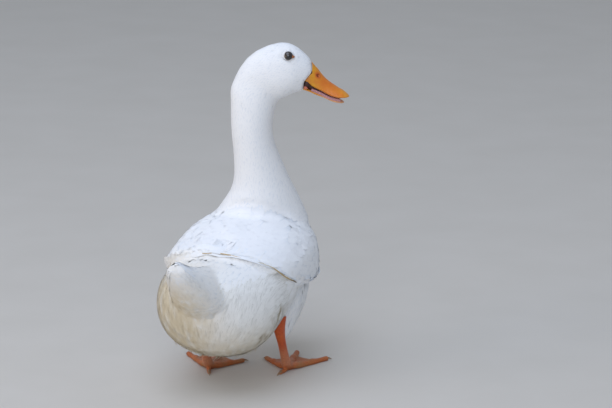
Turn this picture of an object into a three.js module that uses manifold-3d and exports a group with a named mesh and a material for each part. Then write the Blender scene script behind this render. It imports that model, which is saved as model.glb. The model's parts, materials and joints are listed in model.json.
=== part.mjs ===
// A white farm duck, standing with its neck raised and its head turned to its right: a still, life-size model.
// Millimetres, +Z up. The bird faces -Y, so +X is its left side. The origin is on the floor, under the middle
// of the bounding box. Each part of the body is one closed solid, and neighbours keep a gap of JOINT_GAP.
import * as THREE from "three";
import { mergeVertices } from "three/addons/utils/BufferGeometryUtils.js";
import Module from "manifold-3d";

const wasm = await Module();
wasm.setup();

// ---------------------------------------------------------------- driving dimensions
const JOINT_GAP = 0.3; // between parts that meet
const CUT_REACH = 400; // half-size of the boxes that cut a part by a plane
const FLOOR = 3; // height of the floor on the scale that the tables below use

// Trunk, from under the tail to the breast: forward, underside, widest height, back, half-width, and how much
// narrower the lower half is (the keel).
const TRUNK = [
  [-172, 106, 128, 154, 26, 0],
  [-160, 80, 122, 165, 49, 0],
  [-136, 55, 115, 171, 70, 0],
  [-104, 45, 114, 175, 82, 0.06],
  [-64, 45, 118, 180, 84, 0.24],
  [-20, 50, 127, 187, 81, 0.34],
  [24, 63, 135, 192, 76, 0.38],
  [64, 77, 140, 193, 67, 0.34],
  [98, 88, 142, 187, 54, 0.22],
  [124, 106, 145, 175, 38, 0.1],
  [140, 128, 148, 164, 18, 0],
];

// Tail, from inside the rump to the tips of the tail feathers: the same columns, then how far its edges droop.
const TAIL = [
  [-110, 88, 116, 168, 46, 0, 0],
  [-150, 98, 122, 174, 40, 0, 0],
  [-180, 116, 137, 181, 32, 0, 0],
  [-206, 141, 155, 189, 25, 0, 0],
  [-226, 164, 172, 197, 19, 0, 0],
  [-238, 179, 184, 202, 14, 0, 0],
  [-243, 187, 190, 201, 9, 0, 0],
];

// Folded wings: shells over the trunk, outlined from the side (forward, up), from the wrist over the back.
const WING_OUTLINE = [
  [88, 150],
  [84, 178],
  [58, 206],
  [0, 226],
  [-70, 220],
  [-112, 196],
  [-104, 172],
  [-80, 150],
  [-56, 137],
  [-16, 126],
  [30, 121],
  [68, 128],
];
// Their inner edges, seen from above: forward, distance from the middle.
const WING_TOP = [
  [-130, 3],
  [-40, 5],
  [20, 22],
  [60, 44],
  [110, 60],
];
// The surface over them, in the columns of the trunk, and how much looser each wing is carried.
const WING_FORM = [
  [-150, 60, 116, 172, 66, 0],
  [-112, 52, 121, 181, 83, 0],
  [-70, 46, 130, 191, 87, 0],
  [-20, 48, 140, 202, 89, 0],
  [25, 56, 142, 206, 87, 0],
  [60, 70, 142, 200, 77, 0],
  [90, 90, 144, 186, 61, 0],
  [112, 110, 145, 170, 40, 0],
];
const WINGS = [
  { name: "wing_left", sign: 1, loose: 1.5 },
  { name: "wing_right", sign: -1, loose: 0 },
];

// The head is turned: its tables run along its look, with their own middle plane.
const HEAD_TURN = THREE.MathUtils.degToRad(-70); // to the right of the body
const HEAD_MIDDLE = 15; // of the head's middle plane, to the head's left of the body's middle

// Neck, from inside the breast into the head: along the look, to the left of the head's middle plane, up, tilt
// of the centre line above the horizontal (degrees), half-depth, half-width.
const NECK = [
  [18, 30, 178, 97, 64, 56],
  [13.5, 26, 204, 98, 57, 49],
  [15.5, 20, 220, 98, 48.5, 42],
  [17, 14, 240, 99, 38, 35.5],
  [14, 8, 264, 100, 31.5, 31.5],
  [8.5, 2, 293, 98, 27, 28.5],
  [6, -1, 319, 93, 26.8, 27],
  [9, -1, 350, 84, 29, 26.5],
  [15, 0, 366, 75, 30.5, 26],
  [24, 0, 381, 60, 29, 24],
];
const NECK_CUT = { along: 18, up: 374, tilt: 52 }; // the plane that parts the head from the neck

// Head, from the nape to the bill: along the look, underside, widest height, crown, half-width.
const HEAD = [
  [-9.5, 378, 385, 391, 6],
  [-4, 364, 381, 400.5, 16],
  [8, 355, 379, 413, 23],
  [28, 351, 380, 423, 26.5],
  [47, 355, 382, 427, 26.5],
  [59, 361, 385, 423.5, 24.5],
  [68, 363.5, 387, 418, 21],
  [76, 365, 387, 410.5, 17],
  [81, 368, 387, 405, 13.5],
  [83, 377, 388, 398, 10],
];
// The corner of the mouth, cut across the front of the head: along, up.
const GAPE = [
  [72.5, 378],
  [80.4, 387],
  [96, 392],
  [96, 350],
  [71.5, 350],
  [71.5, 366],
];

// Bill, from inside the head to its tip: along the look, underside, widest height, ridge, half-width.
const BILL_UPPER = [
  [64, 380, 384, 404, 12.6],
  [73, 377.4, 381, 406, 13],
  [80.5, 372, 376, 405.6, 13.2],
  [84.3, 369.5, 373.2, 399.5, 13],
  [88, 367.3, 371, 395.6, 12.8],
  [92, 365.4, 369, 391, 12.5],
  [95.8, 363.5, 367, 385.4, 12.3],
  [99.7, 361.4, 364.5, 381.4, 12.3],
  [104, 359.2, 362, 377, 12.7],
  [110, 356.8, 359.5, 373, 13.6],
  [116.3, 355.5, 358, 368.5, 14.2],
  [121.4, 355.4, 357.6, 365.8, 13.8],
  [125.8, 355.5, 357.3, 362.2, 11.8],
  [129, 355.8, 357, 359.3, 8],
  [130.5, 356.2, 356.8, 357.4, 3.5],
];
const BILL_LOWER = [
  [64, 366.5, 369, 371, 9.5],
  [72, 365.4, 368.5, 370.6, 10.2],
  [80.5, 362.6, 365.2, 366.8, 10.6],
  [87, 359.4, 362.6, 364.6, 10.4],
  [93.3, 357, 359.8, 361.6, 10.4],
  [99.7, 354.7, 356.8, 358.2, 10.6],
  [106, 351.5, 353.8, 355.3, 11.2],
  [112.4, 349.3, 351.8, 353.5, 11.8],
  [118.8, 348.3, 350.4, 352, 10.8],
  [122.4, 348.2, 349.4, 350.4, 7.5],
  [124.2, 348.3, 348.8, 349.3, 3],
];
const BILL_RIM = 2.2; // of the bill's edges, beside the hollows of the mouth
const TONGUE = [
  [73.2, 368, 369.6, 371.6, 5],
  [80, 364.6, 366.6, 368.8, 6],
  [90, 360.6, 362.6, 364.8, 6],
  [100, 356.4, 358, 359.8, 5.6],
  [106, 354.6, 355.4, 356.4, 4],
  [109, 353.9, 354.3, 354.7, 1.6],
];
const NOSTRIL = { along: 91, left: 7.2, up: 385, length: 5.4, height: 3.2, tilt: -40 };
const EYE = { along: 53, left: 16.6, up: 412, radius: 6.4 };

// Legs. Thighs, from the flank down to the tips of their feathers: up, forward, left, half-depth, half-width.
const THIGH = [
  [124, 12, 55, 46, 24],
  [100, 8, 57, 41, 22.5],
  [80, 0, 58, 32, 16.5],
  [63, -10, 58.5, 21, 10.5],
  [52, -17, 58.5, 12, 6],
  [46.5, -20, 58.5, 4, 2.5],
];
const THIGH_TOP = 117; // where the folded wings lie over the thighs
// Shanks, from inside the thigh to the foot: up, forward and left from the heel, half-depth, half-width.
const SHANK = [
  [84, -27, 2, 8, 7],
  [70, -31, 1, 9.2, 7.4],
  [60, -28, 1, 8, 6.4],
  [46, -20, 0.5, 6.2, 5.4],
  [28, -10, 0, 6, 5.6],
  [17, -3.5, 0, 6.8, 6.8],
  [9.5, 1, 0, 7, 7],
];
const LEGS = [
  { name: "left", sign: 1, heel: [-38, 40], turn: 4, thighShift: -28, thighIn: 15 },
  { name: "right", sign: -1, heel: [-8, 57], turn: -12, thighShift: -4, thighIn: 2 },
];

// Foot, seen from its heel: toes with their direction (degrees outward), length, half-width, and how far along
// the toe the web reaches.
const TOES = [
  { turn: -37, length: 56, half: 4.6, web: 0.9 },
  { turn: 2, length: 74, half: 5.2, web: 0.86 },
  { turn: 40, length: 70, half: 4.8, web: 0.88 },
];
const HIND_TOE = { turn: -160, length: 19, half: 3 };
const TOE_RISE = 0.82; // height of a toe's middle, in half-widths: less than 1 leaves it a flat sole
const KNUCKLES = 3;
const WEB_THICK = 2.2;
const CLAW = { length: 9, half: 2.3 };

// ---------------------------------------------------------------- frames and directions
const UP = new THREE.Vector3(0, 0, 1);

/** A point given the way that the bird stands: forward, to its left, up. */
const at = (forward, left, up) => new THREE.Vector3(left, -forward, up);

const LEFT = at(0, 1, 0);
const LOOK = at(Math.cos(HEAD_TURN), Math.sin(HEAD_TURN), 0); // the way that the head looks
const LOOK_LEFT = at(-Math.sin(HEAD_TURN), Math.cos(HEAD_TURN), 0); // the head's own left

/** A direction given the way that the head looks: along its look, to its left, up. */
const headward = (along, left, up) =>
  LOOK.clone().multiplyScalar(along).addScaledVector(LOOK_LEFT, left).addScaledVector(UP, up);

/** A point on the head, from the same three. */
const onHead = (along, left, up) => headward(along, left + HEAD_MIDDLE, up);

// ---------------------------------------------------------------- surfaces and solids
/** Smooth functions of t in 0..1, one for each column of a table of key rows. */
function columns(table) {
  return table[0].map((_, column) => {
    const spline = new THREE.SplineCurve(table.map((row, i) => new THREE.Vector2(i, row[column])));
    return (t) => spline.getPoint(t).y;
  });
}

/** An oval ring. `rise` and `fall` are its reach along and against `up`, `half` its reach along `side`. */
function ovalRing(shape, count) {
  const { centre, up, side, rise, fall, half, square = 2, egg = 0, keel = 0, droop = 0 } = shape;
  const power = (value) => Math.sign(value) * Math.abs(value) ** (2 / square);
  return Array.from({ length: count }, (_, i) => {
    const turn = (2 * Math.PI * i) / count;
    const narrowing = 1 - egg * Math.max(0, Math.sin(turn)) - keel * Math.max(0, -Math.sin(turn));
    const across = power(Math.cos(turn)) * narrowing;
    const height = power(Math.sin(turn)) * (Math.sin(turn) > 0 ? rise : fall) - droop * across ** 2;
    return centre.clone().addScaledVector(side, across * half).addScaledVector(up, height);
  });
}

/** The closed surface through a row of rings, with a fan over each end. */
function loft(rings) {
  const sides = rings[0].length;
  const middle = (ring) =>
    ring.reduce((sum, p) => sum.add(p), new THREE.Vector3()).divideScalar(sides);
  const points = [...rings.flat(), middle(rings[0]), middle(rings.at(-1))];
  const [firstCap, lastCap] = [points.length - 2, points.length - 1];
  const index = [];
  for (let i = 0; i < sides; i++) {
    const j = (i + 1) % sides;
    for (let r = 0; r < rings.length - 1; r++) {
      const [a, b] = [r * sides + i, r * sides + j];
      index.push(a, b, b + sides, a, b + sides, a + sides);
    }
    const last = (rings.length - 1) * sides;
    index.push(firstCap, j, i, lastCap, last + i, last + j);
  }
  return new THREE.BufferGeometry().setFromPoints(points).setIndex(index);
}

/** A geometry as a manifold-3d solid, turned the right way out. */
function solid(geometry) {
  const bare = geometry.clone();
  bare.deleteAttribute("normal");
  bare.deleteAttribute("uv");
  const merged = mergeVertices(bare, 1e-4);
  const make = (triVerts) =>
    new wasm.Manifold(
      new wasm.Mesh({ numProp: 3, vertProperties: merged.attributes.position.array, triVerts }),
    );
  const made = make(new Uint32Array(merged.index.array));
  return made.volume() > 0 ? made : make(new Uint32Array(merged.index.array).reverse());
}

/** The geometry of a manifold-3d solid. */
function geometryOf(made) {
  const { vertProperties, triVerts } = made.getMesh();
  const geometry = new THREE.BufferGeometry();
  geometry.setAttribute("position", new THREE.BufferAttribute(vertProperties, 3));
  geometry.setIndex(new THREE.BufferAttribute(triVerts, 1));
  return geometry;
}

/** The main piece of a solid, without the crumbs that a cut leaves. */
const mainPiece = (made) => made.decompose().sort((a, b) => b.volume() - a.volume())[0];

/** The solid through upright rings, one for each row of a table: along, underside, widest height, top,
 *  half-width, and where the table has them keel and droop. `onPlane` places along and up. */
function uprightLoft(table, { rings, sides, onPlane, side, grow = 0, square = 2, egg = 0 }) {
  const [along, under, middle, top, half, keel, droop] = columns(table);
  const shapes = Array.from({ length: rings }, (_, i) => {
    const t = i / (rings - 1);
    const step = grow * Math.sign(along(1) - along(0)) * (2 * t - 1);
    const shape = {
      centre: onPlane(along(t) + step, middle(t)),
      up: UP,
      side,
      rise: top(t) - middle(t) + grow,
      fall: middle(t) - under(t) + grow,
      half: half(t) + grow,
      square,
      egg,
      keel: keel ? keel(t) : 0,
      droop: droop ? droop(t) : 0,
    };
    return ovalRing(shape, sides);
  });
  return solid(loft(shapes));
}

/** The half-space behind a plane, as a large box: what lies against `normal` from `point`. */
function behind(point, normal) {
  const box = new THREE.BoxGeometry(2 * CUT_REACH, 2 * CUT_REACH, 2 * CUT_REACH);
  box.translate(0, 0, -CUT_REACH);
  const turn = new THREE.Quaternion().setFromUnitVectors(UP, normal.clone().normalize());
  box.applyQuaternion(turn);
  box.translate(point.x, point.y, point.z);
  return solid(box);
}

/** A flat shape pushed out into a solid. Its two axes and its depth run along the three directions given. */
function prism(shape, near, far, across, upward, outward) {
  const geometry = new THREE.ExtrudeGeometry(shape, { depth: far - near, bevelEnabled: false });
  const place = new THREE.Matrix4().makeBasis(across, upward, outward);
  return solid(geometry.translate(0, 0, near).applyMatrix4(place));
}

/** A ball stretched along three directions. */
function stretchedBall(centre, axes, sides) {
  const ball = new THREE.SphereGeometry(1, sides, Math.ceil(sides / 2));
  ball.applyMatrix4(new THREE.Matrix4().makeBasis(...axes).setPosition(centre));
  return solid(ball);
}

/** The smooth line through key points, as many points. */
const smoothLine = (points, steps) =>
  new THREE.SplineCurve(points.map(([x, y]) => new THREE.Vector2(x, y))).getPoints(steps);

const toShape = (points) => new THREE.Shape(points.map(([x, y]) => new THREE.Vector2(x, y)));
const floorLevel = at(0, 0, FLOOR);
const parts = {}; // node name -> manifold-3d solid

// ---------------------------------------------------------------- trunk and tail
const alongBody = { onPlane: (forward, up) => at(forward, 0, up), side: LEFT };
const trunkOf = (grow) =>
  uprightLoft(TRUNK, { ...alongBody, rings: 19, sides: 28, square: 2.2, grow });
const trunkGrown = trunkOf(JOINT_GAP);
parts.trunk = trunkOf(0);
parts.tail = uprightLoft(TAIL, { ...alongBody, rings: 9, sides: 20, square: 1.6 }).subtract(trunkGrown);

// ---------------------------------------------------------------- neck and head
/** The neck without its head, larger all round by `grow`. */
function neckOf(grow) {
  const [along, left, up, tilt, depth, half] = columns(NECK);
  const rings = Array.from({ length: 17 }, (_, i) => {
    const t = i / 16;
    const lean = THREE.MathUtils.degToRad(tilt(t));
    const shape = {
      centre: onHead(along(t), left(t), up(t)),
      up: headward(-Math.sin(lean), 0, Math.cos(lean)),
      side: LOOK_LEFT,
      rise: depth(t) + grow,
      fall: depth(t) + grow,
      half: half(t) + grow,
    };
    return ovalRing(shape, 22);
  });
  return solid(loft(rings));
}

const alongHead = { onPlane: (along, up) => onHead(along, 0, up), side: LOOK_LEFT };
const headOf = (grow) =>
  uprightLoft(HEAD, { ...alongHead, rings: 13, sides: 22, square: 2.1, egg: 0.06, grow });

/** What is cut away for the bill and the corner of the mouth, moved forward and down by `step`. */
function gapeOf(step) {
  const outline = toShape(GAPE.map(([along, up]) => [along + step, up - step]));
  return prism(outline, -60, 60, LOOK, UP, LOOK_LEFT.clone().negate());
}

const cutTilt = THREE.MathUtils.degToRad(NECK_CUT.tilt);
const cutNormal = headward(Math.cos(cutTilt), 0, Math.sin(cutTilt));
const cutPoint = onHead(NECK_CUT.along, 0, NECK_CUT.up);
const gapStep = cutNormal.clone().multiplyScalar(JOINT_GAP / 2);
const neckAndHead = neckOf(0).add(headOf(0));
const headWhole = neckAndHead.subtract(behind(cutPoint.clone().add(gapStep), cutNormal));
parts.neck = neckAndHead.intersect(behind(cutPoint.clone().sub(gapStep), cutNormal)).subtract(trunkGrown);
parts.head = headWhole.subtract(gapeOf(0));

// ---------------------------------------------------------------- eyes
for (const [name, sign] of [
  ["eye_left", 1],
  ["eye_right", -1],
]) {
  const centre = onHead(EYE.along, sign * EYE.left, EYE.up);
  const ball = (grow) =>
    solid(new THREE.SphereGeometry(EYE.radius + grow, 14, 9).translate(centre.x, centre.y, centre.z));
  parts[name] = ball(0);
  parts.head = parts.head.subtract(ball(JOINT_GAP));
}

// ---------------------------------------------------------------- bill and tongue
/** A table of the bill made into a hollow: `rim` narrower, between `low` and `high` above its underside. */
const hollowTable = (table, rim, low, high) =>
  table.slice(1, -3).map(([along, under, , , half]) => [
    along,
    under + low,
    under + (low + high) / 2,
    under + high,
    half - rim,
  ]);

const headForBill = headOf(JOINT_GAP).subtract(gapeOf(JOINT_GAP));
const alongBill = { ...alongHead, rings: 16, sides: 12 };
const palate = uprightLoft(hollowTable(BILL_UPPER, BILL_RIM, -4, 4.2), { ...alongBill, rings: 8, sides: 8 });
const trough = uprightLoft(hollowTable(BILL_LOWER, BILL_RIM, 1.6, 8), { ...alongBill, rings: 8, sides: 8 });
parts.bill_upper = uprightLoft(BILL_UPPER, { ...alongBill, egg: 0.3 }).subtract(headForBill).subtract(palate);
parts.bill_lower = uprightLoft(BILL_LOWER, alongBill).subtract(headForBill).subtract(trough);
parts.tongue = uprightLoft(TONGUE, { ...alongHead, rings: 7, sides: 8 });
for (const sign of [1, -1]) {
  const tilt = THREE.MathUtils.degToRad(NOSTRIL.tilt);
  const axes = [
    headward(Math.cos(tilt), 0, Math.sin(tilt)).multiplyScalar(NOSTRIL.length / 2),
    LOOK_LEFT.clone().multiplyScalar(2.4),
    headward(-Math.sin(tilt), 0, Math.cos(tilt)).multiplyScalar(NOSTRIL.height / 2),
  ];
  const dent = stretchedBall(onHead(NOSTRIL.along, sign * NOSTRIL.left, NOSTRIL.up), axes, 8);
  parts.bill_upper = parts.bill_upper.subtract(dent);
}

// ---------------------------------------------------------------- wings
const neckGrown = neckOf(JOINT_GAP);
const wingSide = new THREE.Shape(smoothLine([...WING_OUTLINE, WING_OUTLINE[0]], 40).slice(0, -1));
const wingInner = smoothLine(WING_TOP, 8).map(({ x, y }) => [x, y]);
const wingPlan = toShape([...wingInner, [110, 200], [-130, 200]]);
const wingSurface = (grow) =>
  uprightLoft(WING_FORM, { ...alongBody, rings: 17, sides: 28, square: 2.5, grow });
for (const { name, sign, loose } of WINGS) {
  const outward = LEFT.clone().multiplyScalar(sign);
  const forwardAxis = at(1, 0, 0);
  const fromSide = prism(wingSide, 0.5, CUT_REACH, forwardAxis, UP, outward);
  const fromAbove = prism(wingPlan, 60, 300, forwardAxis, outward, UP);
  const blank = wingSurface(loose).intersect(fromSide).intersect(fromAbove);
  parts[name] = blank.subtract(trunkGrown).subtract(neckGrown);
}

// ---------------------------------------------------------------- legs
/** The solid through level rings, one for each row of a table: up, forward, left, half-depth, half-width. */
function levelLoft(table, rings, sides, place, sign, grow) {
  const [up, forward, left, depth, half] = columns(table);
  const shapes = Array.from({ length: rings }, (_, i) => {
    const t = i / (rings - 1);
    const shape = {
      centre: place(forward(t), sign * left(t), up(t) + grow * (1 - 2 * t)),
      up: at(1, 0, 0),
      side: LEFT,
      rise: depth(t) + grow,
      fall: depth(t) + grow,
      half: half(t) + grow,
    };
    return ovalRing(shape, sides);
  });
  return solid(loft(shapes));
}

/** A toe with knuckles, from the heel out along the floor, cut flat below. */
function toe({ length, half }, direction, heel) {
  const side = direction.clone().cross(UP);
  const rings = Array.from({ length: 9 }, (_, i) => {
    const t = i / 8;
    const knuckle = 1 + 0.13 * Math.cos(2 * Math.PI * (KNUCKLES * t + 0.1));
    const radius = half * (1.15 - 0.5 * t) * knuckle;
    const lift = TOE_RISE * radius + 3.5 * (1 - THREE.MathUtils.smoothstep(t, 0, 0.3));
    return ovalRing(
      {
        centre: heel.clone().addScaledVector(direction, length * t).addScaledVector(UP, lift),
        up: UP,
        side,
        rise: radius,
        fall: radius,
        half: radius,
      },
      8,
    );
  });
  return solid(loft(rings));
}

/** A claw from the end of a toe, bent to the floor. */
function claw({ length }, direction, heel) {
  const side = direction.clone().cross(UP);
  const rings = Array.from({ length: 4 }, (_, i) => {
    const t = i / 3;
    const radius = CLAW.half * (1 - 0.8 * t);
    const along = length - 3 + (CLAW.length + 3) * t;
    return ovalRing(
      {
        centre: heel.clone().addScaledVector(direction, along).addScaledVector(UP, 3.4 - 2.8 * t * t),
        up: UP,
        side,
        rise: radius,
        fall: radius,
        half: 0.75 * radius,
      },
      6,
    );
  });
  return solid(loft(rings));
}

/** The level direction that is turned outward from straight ahead by some degrees, on the side given. */
function outwardTurn(degrees, sign) {
  const angle = THREE.MathUtils.degToRad(degrees);
  return at(Math.cos(angle), sign * Math.sin(angle), 0);
}

const aboveThigh = wingSurface(2).intersect(behind(at(0, 0, THIGH_TOP), at(0, 0, -1)));
for (const { name, sign, heel: heelPlace, turn, thighShift, thighIn } of LEGS) {
  const heel = at(heelPlace[0], sign * heelPlace[1], FLOOR);
  const thighOf = (grow) =>
    levelLoft(THIGH, 9, 16, (forward, left, up) => at(forward + thighShift, left - sign * thighIn, up), sign, grow);
  const fromHeel = (forward, left, up) => heel.clone().add(at(forward, left, up - FLOOR));
  const shankBlank = levelLoft(SHANK, 11, 12, fromHeel, sign, 0);

  parts[`thigh_${name}`] = thighOf(0).subtract(trunkGrown).subtract(aboveThigh);
  parts[`shank_${name}`] = shankBlank.subtract(trunkGrown).subtract(thighOf(JOINT_GAP));

  let foot = null;
  for (const part of [...TOES, HIND_TOE]) {
    const direction = outwardTurn(part.turn + turn, sign);
    const made = toe(part, direction, heel).add(claw(part, direction, heel));
    foot = foot ? foot.add(made) : made;
  }
  for (const [inner, outer] of [
    [TOES[0], TOES[1]],
    [TOES[1], TOES[2]],
  ]) {
    const [a, b] = [inner, outer].map((part) =>
      outwardTurn(part.turn + turn, sign).multiplyScalar(part.length * part.web),
    );
    const scallop = a.clone().add(b).multiplyScalar(0.43);
    const edge = new THREE.QuadraticBezierCurve(
      new THREE.Vector2(a.x, a.y),
      new THREE.Vector2(scallop.x, scallop.y),
      new THREE.Vector2(b.x, b.y),
    );
    const outline = new THREE.Shape([new THREE.Vector2(0, 0), ...edge.getPoints(5)]);
    const web = new THREE.ExtrudeGeometry(outline, { depth: WEB_THICK, bevelEnabled: false });
    foot = foot.add(solid(web.translate(heel.x, heel.y, FLOOR)));
  }
  const shankEnd = levelLoft(SHANK, 11, 12, fromHeel, sign, JOINT_GAP);
  parts[`foot_${name}`] = foot.subtract(behind(floorLevel, UP)).subtract(shankEnd);
}

// ---------------------------------------------------------------- assembly
const LOOKS = {
  bill: { color: 0xe8941c, roughness: 0.45, metalness: 0 },
  leg: { color: 0xd86a28, roughness: 0.6, metalness: 0 },
  eye: { color: 0x140d08, roughness: 0.1, metalness: 0 },
  tongue: { color: 0xb06a74, roughness: 0.4, metalness: 0 },
  plumage: { color: 0xeef1f4, roughness: 0.85, metalness: 0 },
};
const lookOf = { bill: "bill", tongue: "tongue", eye: "eye", shank: "leg", foot: "leg" };

const duck = new THREE.Group();
for (const [name, made] of Object.entries(parts)) {
  const look = LOOKS[lookOf[name.split("_")[0]] ?? "plumage"];
  const mesh = new THREE.Mesh(geometryOf(mainPiece(made)), new THREE.MeshStandardMaterial(look));
  mesh.name = name;
  duck.add(mesh);
}
const bounds = new THREE.Box3().setFromObject(duck);
const middle = bounds.getCenter(new THREE.Vector3());
duck.position.set(-middle.x, -middle.y, -bounds.min.z);

export default duck;
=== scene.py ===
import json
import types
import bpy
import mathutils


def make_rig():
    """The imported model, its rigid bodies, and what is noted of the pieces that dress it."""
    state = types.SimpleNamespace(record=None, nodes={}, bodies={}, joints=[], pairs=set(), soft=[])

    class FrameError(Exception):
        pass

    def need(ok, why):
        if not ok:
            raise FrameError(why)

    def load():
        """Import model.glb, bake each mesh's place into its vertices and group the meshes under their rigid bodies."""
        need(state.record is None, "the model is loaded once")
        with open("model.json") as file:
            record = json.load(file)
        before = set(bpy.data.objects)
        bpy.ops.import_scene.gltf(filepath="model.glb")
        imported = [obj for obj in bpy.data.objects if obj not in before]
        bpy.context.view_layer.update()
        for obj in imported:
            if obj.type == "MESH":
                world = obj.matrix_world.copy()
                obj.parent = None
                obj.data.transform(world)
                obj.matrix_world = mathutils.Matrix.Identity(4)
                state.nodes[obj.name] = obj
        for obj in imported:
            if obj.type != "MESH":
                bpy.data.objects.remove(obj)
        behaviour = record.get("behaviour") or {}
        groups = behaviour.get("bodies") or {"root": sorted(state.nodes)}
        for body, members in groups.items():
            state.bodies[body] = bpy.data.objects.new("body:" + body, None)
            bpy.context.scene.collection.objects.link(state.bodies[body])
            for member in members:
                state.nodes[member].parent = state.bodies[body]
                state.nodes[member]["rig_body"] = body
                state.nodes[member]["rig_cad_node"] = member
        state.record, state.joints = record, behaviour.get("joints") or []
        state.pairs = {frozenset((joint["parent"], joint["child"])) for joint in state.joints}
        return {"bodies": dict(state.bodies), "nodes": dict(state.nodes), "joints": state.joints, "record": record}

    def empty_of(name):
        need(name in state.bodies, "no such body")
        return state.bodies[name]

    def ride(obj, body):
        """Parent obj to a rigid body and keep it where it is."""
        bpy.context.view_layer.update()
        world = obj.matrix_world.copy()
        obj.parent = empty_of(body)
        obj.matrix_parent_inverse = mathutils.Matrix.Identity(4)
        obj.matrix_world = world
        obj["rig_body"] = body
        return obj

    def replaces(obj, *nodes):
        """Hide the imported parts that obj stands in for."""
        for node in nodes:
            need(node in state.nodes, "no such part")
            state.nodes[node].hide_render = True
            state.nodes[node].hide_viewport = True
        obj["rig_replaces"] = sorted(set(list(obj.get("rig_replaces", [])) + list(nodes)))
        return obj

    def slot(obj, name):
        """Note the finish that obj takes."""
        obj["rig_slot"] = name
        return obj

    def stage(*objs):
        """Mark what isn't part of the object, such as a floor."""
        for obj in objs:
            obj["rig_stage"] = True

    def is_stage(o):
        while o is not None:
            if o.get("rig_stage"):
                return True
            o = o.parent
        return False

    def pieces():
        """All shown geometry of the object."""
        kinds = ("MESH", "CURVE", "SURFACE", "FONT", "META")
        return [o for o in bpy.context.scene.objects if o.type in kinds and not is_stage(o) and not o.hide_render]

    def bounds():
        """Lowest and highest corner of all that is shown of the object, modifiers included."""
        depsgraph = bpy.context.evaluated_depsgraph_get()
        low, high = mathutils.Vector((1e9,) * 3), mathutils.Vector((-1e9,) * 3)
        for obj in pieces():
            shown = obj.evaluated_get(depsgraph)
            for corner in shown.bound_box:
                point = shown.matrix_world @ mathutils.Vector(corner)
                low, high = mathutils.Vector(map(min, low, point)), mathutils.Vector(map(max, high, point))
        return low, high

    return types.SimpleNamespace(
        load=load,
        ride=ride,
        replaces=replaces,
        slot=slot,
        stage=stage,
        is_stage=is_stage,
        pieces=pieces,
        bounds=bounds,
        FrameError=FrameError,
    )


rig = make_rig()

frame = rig.load()

import json
import math

import bpy
import numpy as np
from mathutils import Matrix, Vector
from mathutils.bvhtree import BVHTree

cad_box = [list(corner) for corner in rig.bounds()]

# ---------------------------------------------------------------- camera
# A long lens at a standing person's chest height, behind the bird and to its right.
bpy.ops.object.select_all(action="DESELECT")
bpy.ops.object.camera_add(
    location=(-1.3689, 3.5217, 1.1703), rotation=(math.radians(76), 0, math.radians(200))
)
camera = bpy.context.object
camera.name = "camera"
camera.data.lens = 181.0
camera.data.clip_end = 60
bpy.context.scene.camera = camera

# ---------------------------------------------------------------- floor and light
# A wide pale floor of fine plaster, under a large cool softbox and a low warm one, in a pale room.
FLOOR_SIZE = 16.0


def paint(shade):
    """A linear colour from two hexadecimal figures each of red, green and blue, as on a paint card."""
    parts = [int(shade[i : i + 2], 16) / 255 for i in (0, 2, 4)]
    linear = [p / 12.92 if p <= 0.04045 else ((p + 0.055) / 1.055) ** 2.4 for p in parts]
    return (*linear, 1.0)


def new_material(name):
    """A material with its shader, and the two of them to wire to."""
    material = bpy.data.materials.new(name)
    material.use_nodes = True
    tree = material.node_tree
    return material, tree, tree.nodes["Principled BSDF"]


def feed(tree, socket, value):
    """Joins an input to another node's output, or sets it to a plain value."""
    if isinstance(value, bpy.types.NodeSocket):
        tree.links.new(value, socket)
    else:
        socket.default_value = value


def node(tree, kind, settings=None, **inputs):
    """A node with its settings and its inputs. An underline stands for a blank in an input's name."""
    made = tree.nodes.new(kind)
    for key, value in (settings or {}).items():
        setattr(made, key, value)
    for key, value in inputs.items():
        feed(tree, made.inputs[key.replace("_", " ")], value)
    return made


def reckon(tree, operation, *values):
    """The output of a Math node."""
    made = node(tree, "ShaderNodeMath", {"operation": operation})
    for socket, value in zip(made.inputs, values):
        feed(tree, socket, value)
    return made.outputs[0]


def distance(tree, place, spot):
    """How far a place is from a spot."""
    made = node(tree, "ShaderNodeVectorMath", {"operation": "DISTANCE"})
    for socket, value in zip(made.inputs, (place, spot)):
        feed(tree, socket, value)
    return made.outputs["Value"]


def place_on(tree):
    """The output that gives a place on the piece, in metres of the frame."""
    return node(tree, "ShaderNodeTexCoord").outputs["Object"]


def noise(tree, place, grain, detail, **more):
    """Smooth random values over grains of a fineness."""
    return node(tree, "ShaderNodeTexNoise", Vector=place, Scale=grain, Detail=detail, **more).outputs["Fac"]


def between(tree, value, low, high):
    """A smooth step from 0 at one value to 1 at another, which may lie below it."""
    made = node(
        tree,
        "ShaderNodeMapRange",
        {"interpolation_type": "SMOOTHSTEP"},
        Value=value,
        From_Min=min(low, high),
        From_Max=max(low, high),
        To_Min=0.0 if low < high else 1.0,
        To_Max=1.0 if low < high else 0.0,
    )
    return made.outputs[0]


def mixed(tree, share, first, second):
    """The output of a colour mix."""
    made = node(tree, "ShaderNodeMix", {"data_type": "RGBA"})
    for number, value in ((0, share), (6, first), (7, second)):
        feed(tree, made.inputs[number], value)
    return made.outputs[2]


def bump(tree, shader, height, distance, strength=1.0):
    """Raises a surface's finish by a height, in metres."""
    made = node(tree, "ShaderNodeBump", Height=height, Distance=distance, Strength=strength)
    tree.links.new(made.outputs[0], shader.inputs["Normal"])


def speckled(name, grain, detail, first, second, roughness, relief=0.0, strength=1.0):
    """A finish that wanders between two colours over grains of a fineness, and may rise with them."""
    material, tree, shader = new_material(name)
    mottle = noise(tree, place_on(tree), grain, detail)
    tree.links.new(mixed(tree, mottle, paint(first), paint(second)), shader.inputs["Base Color"])
    shader.inputs["Roughness"].default_value = roughness
    if relief:
        bump(tree, shader, mottle, relief, strength)
    return material


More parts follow.
